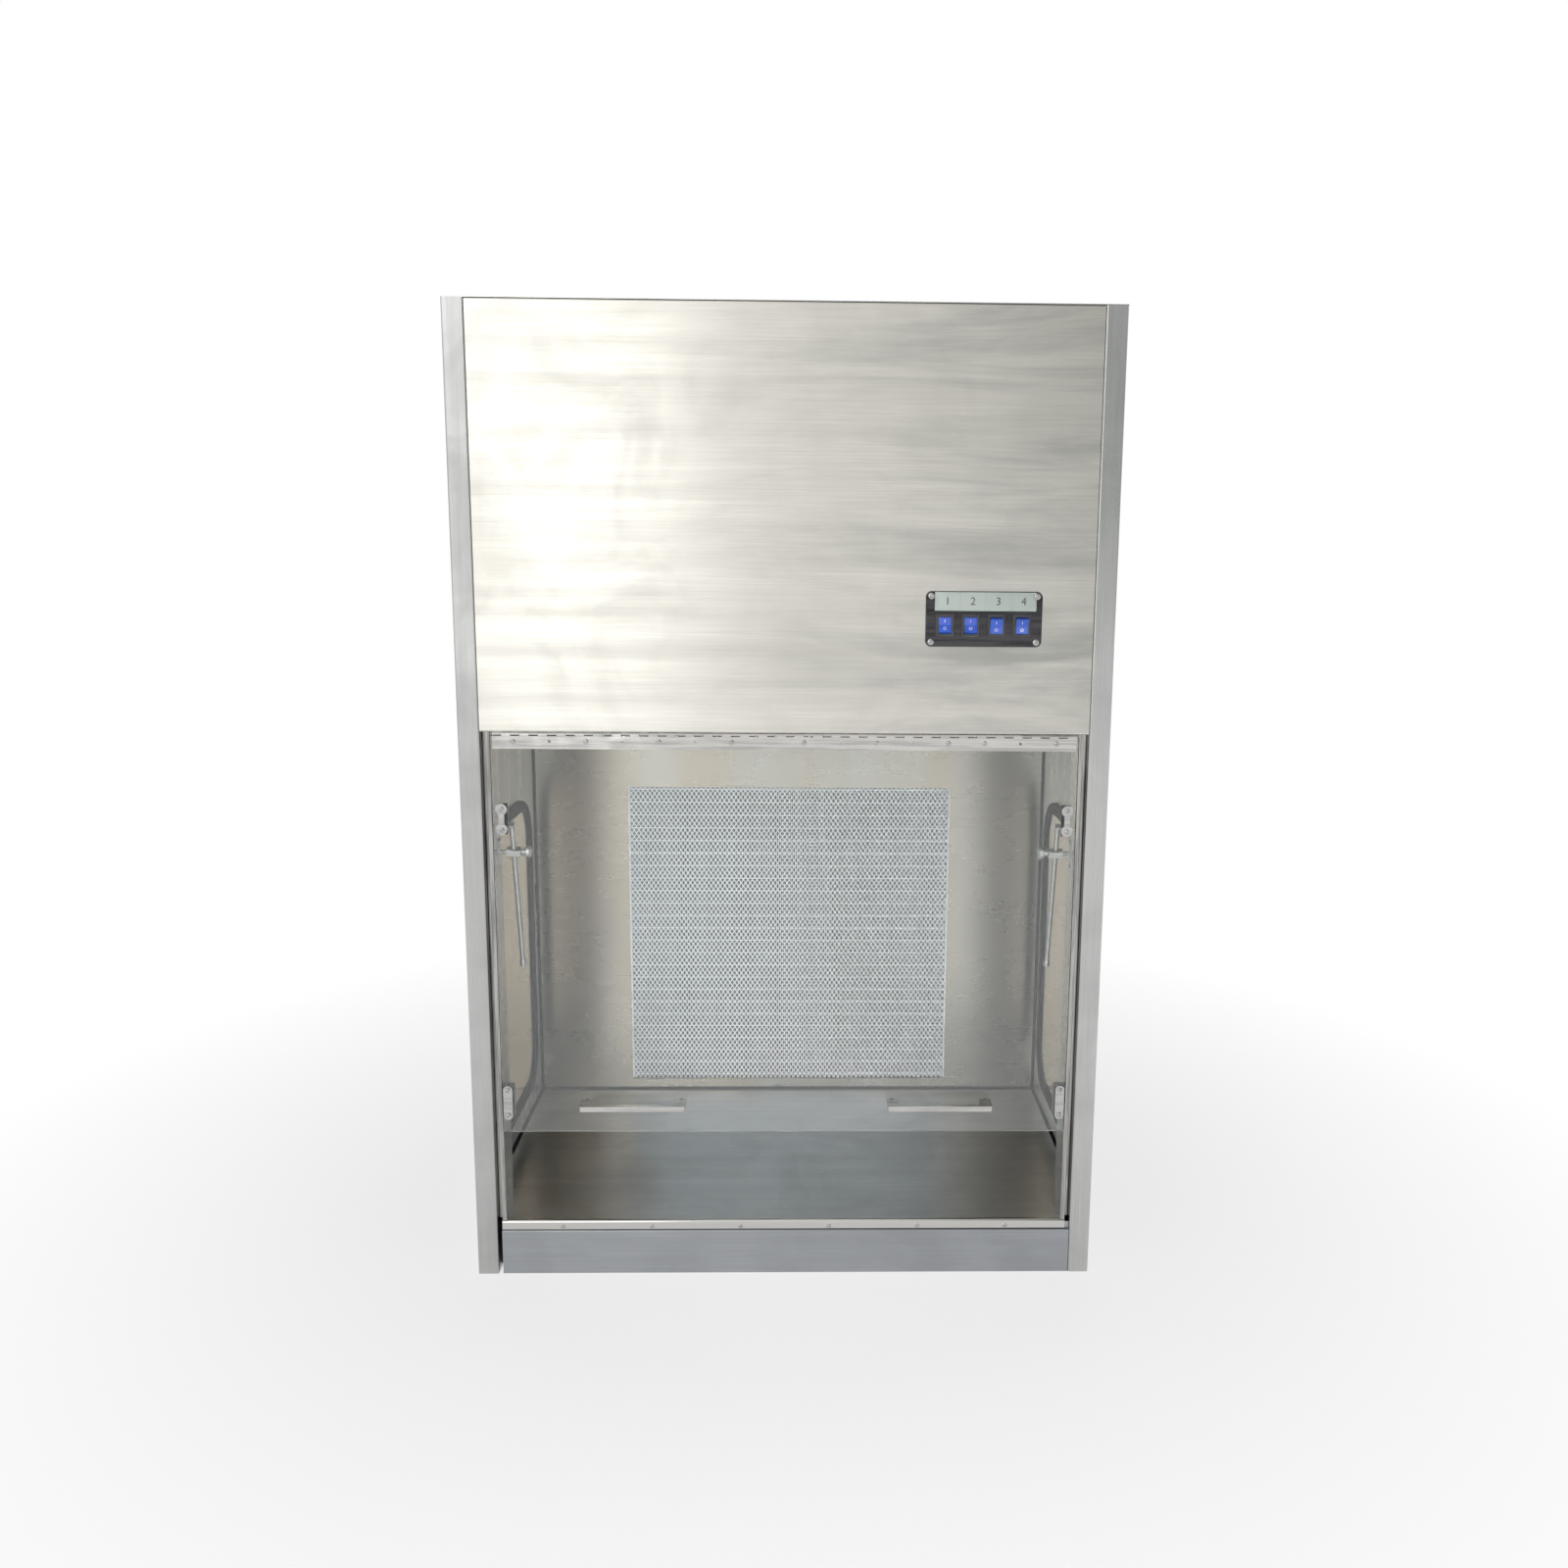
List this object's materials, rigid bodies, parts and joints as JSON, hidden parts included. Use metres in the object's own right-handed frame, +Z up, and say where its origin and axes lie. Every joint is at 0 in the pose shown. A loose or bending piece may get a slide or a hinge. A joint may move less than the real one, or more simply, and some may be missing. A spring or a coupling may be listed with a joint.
{
  "type": "laminar flow hood",
  "caption": "Free-standing laminar flow hood in folded stainless sheet with a clear lift-up sash, side windows, filtered air from behind, a blower above and rocker switches.",
  "frame": {"origin": "centre of the base on the floor", "axes": "+X to the right seen from the front, +Y into the depth away from the user, +Z up"},
  "size_m": [0.906, 0.7278, 1.3745],
  "materials": {
    "stainless_brushed": "brushed",
    "stainless_polished": "polished",
    "zinc_plate": "satin",
    "clear_acrylic": "clear",
    "tinted_glass": "tinted",
    "black_rubber": "matt",
    "black_plastic": "satin",
    "blue_plastic": "gloss",
    "label_card": "matt",
    "filter_paper": "matt",
    "filter_metal": "satin",
    "white_mesh": "satin",
    "prefilter_fibre": "matt",
    "motor_paint": "satin",
    "galvanised": "galvanised",
    "lamp_glass": "gloss",
    "white_plastic": "gloss"
  },
  "bodies": {
    "cabinet": {"left_side_panel": "stainless_brushed", "right_side_panel": "stainless_brushed", "left_window_glass": "tinted_glass", "right_window_glass": "tinted_glass", "left_window_seal": "black_rubber", "right_window_seal": "black_rubber", "upper_front_panel": "stainless_brushed", "top_cover": "stainless_brushed", "rear_cover": "stainless_brushed", "rear_cover_screws": "stainless_polished", "base_pan": "stainless_brushed", "plinth_panel": "stainless_brushed", "work_surface": "stainless_brushed", "sill_rivets": "stainless_polished", "chamber_back_wall": "stainless_brushed", "service_shelf": "stainless_brushed", "left_jamb": "stainless_polished", "right_jamb": "stainless_polished", "chamber_sealant": "black_rubber", "hepa_frame": "filter_metal", "hepa_media": "filter_paper", "filter_guard": "white_mesh", "filter_gasket": "black_rubber", "filter_clamps": "zinc_plate", "prefilter": "prefilter_fibre", "prefilter_tray": "stainless_brushed", "blower_housing": "galvanised", "blower_motor": "motor_paint", "lamp_holders": "white_plastic", "light_tube": "lamp_glass", "uv_tube": "lamp_glass", "control_gear": "galvanised", "power_inlet": "black_plastic", "switch_plate": "stainless_polished", "label_cards": "label_card", "switch_plate_screws": "stainless_polished", "switch_housings": "black_plastic", "hinge_fixed_leaf": "stainless_polished", "hinge_pin": "stainless_polished", "magnetic_catches": "black_plastic", "stay_mounts": "zinc_plate"},
    "sash": {"sash_pane": "clear_acrylic", "hinge_moving_leaf": "stainless_polished", "hinge_screws": "stainless_polished", "left_handle": "stainless_polished", "right_handle": "stainless_polished", "sash_screws": "stainless_polished", "strike_plates": "stainless_polished", "stay_brackets": "zinc_plate"},
    "left_block": {"left_stay_block": "zinc_plate"},
    "left_rod": {"left_stay_rod": "zinc_plate"},
    "left_knob": {"left_stay_knob": "zinc_plate"},
    "right_block": {"right_stay_block": "zinc_plate"},
    "right_rod": {"right_stay_rod": "zinc_plate"},
    "right_knob": {"right_stay_knob": "zinc_plate"},
    "rocker_1": {"rocker_1": "blue_plastic"},
    "rocker_2": {"rocker_2": "blue_plastic"},
    "rocker_3": {"rocker_3": "blue_plastic"},
    "rocker_4": {"rocker_4": "blue_plastic"},
    "impeller": {"impeller": "galvanised"}
  },
  "joints": [
    {"name": "sash_hinge", "type": "hinge", "parent": "cabinet", "child": "sash", "pos_m": [0, -0.3465, 0.8014], "axis": [-1, 0, 0], "range_deg": [0, 81.4]},
    {"name": "left_block_turn", "type": "hinge", "parent": "cabinet", "child": "left_block", "pos_m": [-0.3865, -0.30891, 0.627], "axis": [1, 0, 0], "range_deg": [0, 40.83]},
    {"name": "left_rod_slide", "type": "slide", "parent": "left_block", "child": "left_rod", "axis": [0, -0.2079, 0.9781], "range_m": [0, 0.16672]},
    {"name": "left_knob_turn", "type": "hinge", "parent": "left_block", "child": "left_knob", "pos_m": [-0.37, -0.30891, 0.627], "axis": [-1, 0, 0], "range_deg": [0, 180]},
    {"name": "right_block_turn", "type": "hinge", "parent": "cabinet", "child": "right_block", "pos_m": [0.3865, -0.30891, 0.627], "axis": [1, 0, 0], "range_deg": [0, 40.83]},
    {"name": "right_rod_slide", "type": "slide", "parent": "right_block", "child": "right_rod", "axis": [0, -0.2079, 0.9781], "range_m": [0, 0.16672]},
    {"name": "right_knob_turn", "type": "hinge", "parent": "right_block", "child": "right_knob", "pos_m": [0.37, -0.30891, 0.627], "axis": [1, 0, 0], "range_deg": [0, 180]},
    {"name": "rocker_1_tilt", "type": "hinge", "parent": "cabinet", "child": "rocker_1", "pos_m": [0.21585, -0.3505, 0.9535], "axis": [1, 0, 0], "range_deg": [0, 24]},
    {"name": "rocker_2_tilt", "type": "hinge", "parent": "cabinet", "child": "rocker_2", "pos_m": [0.25095, -0.3505, 0.9535], "axis": [1, 0, 0], "range_deg": [0, 24]},
    {"name": "rocker_3_tilt", "type": "hinge", "parent": "cabinet", "child": "rocker_3", "pos_m": [0.28605, -0.3505, 0.9535], "axis": [1, 0, 0], "range_deg": [-24, 0]},
    {"name": "rocker_4_tilt", "type": "hinge", "parent": "cabinet", "child": "rocker_4", "pos_m": [0.32115, -0.3505, 0.9535], "axis": [1, 0, 0], "range_deg": [-24, 0]},
    {"name": "impeller_spin", "type": "hinge", "parent": "cabinet", "child": "impeller", "pos_m": [0, 0.12, 1.01], "axis": [1, 0, 0], "continuous": true}
  ],
  "couplings": [
    {"joint": "left_block_turn", "follows": "sash_hinge", "ratio": 0.50155},
    {"joint": "left_rod_slide", "follows": "sash_hinge", "m_per_rad": 0.11734},
    {"joint": "right_block_turn", "follows": "sash_hinge", "ratio": 0.50155},
    {"joint": "right_rod_slide", "follows": "sash_hinge", "m_per_rad": 0.11734}
  ]
}
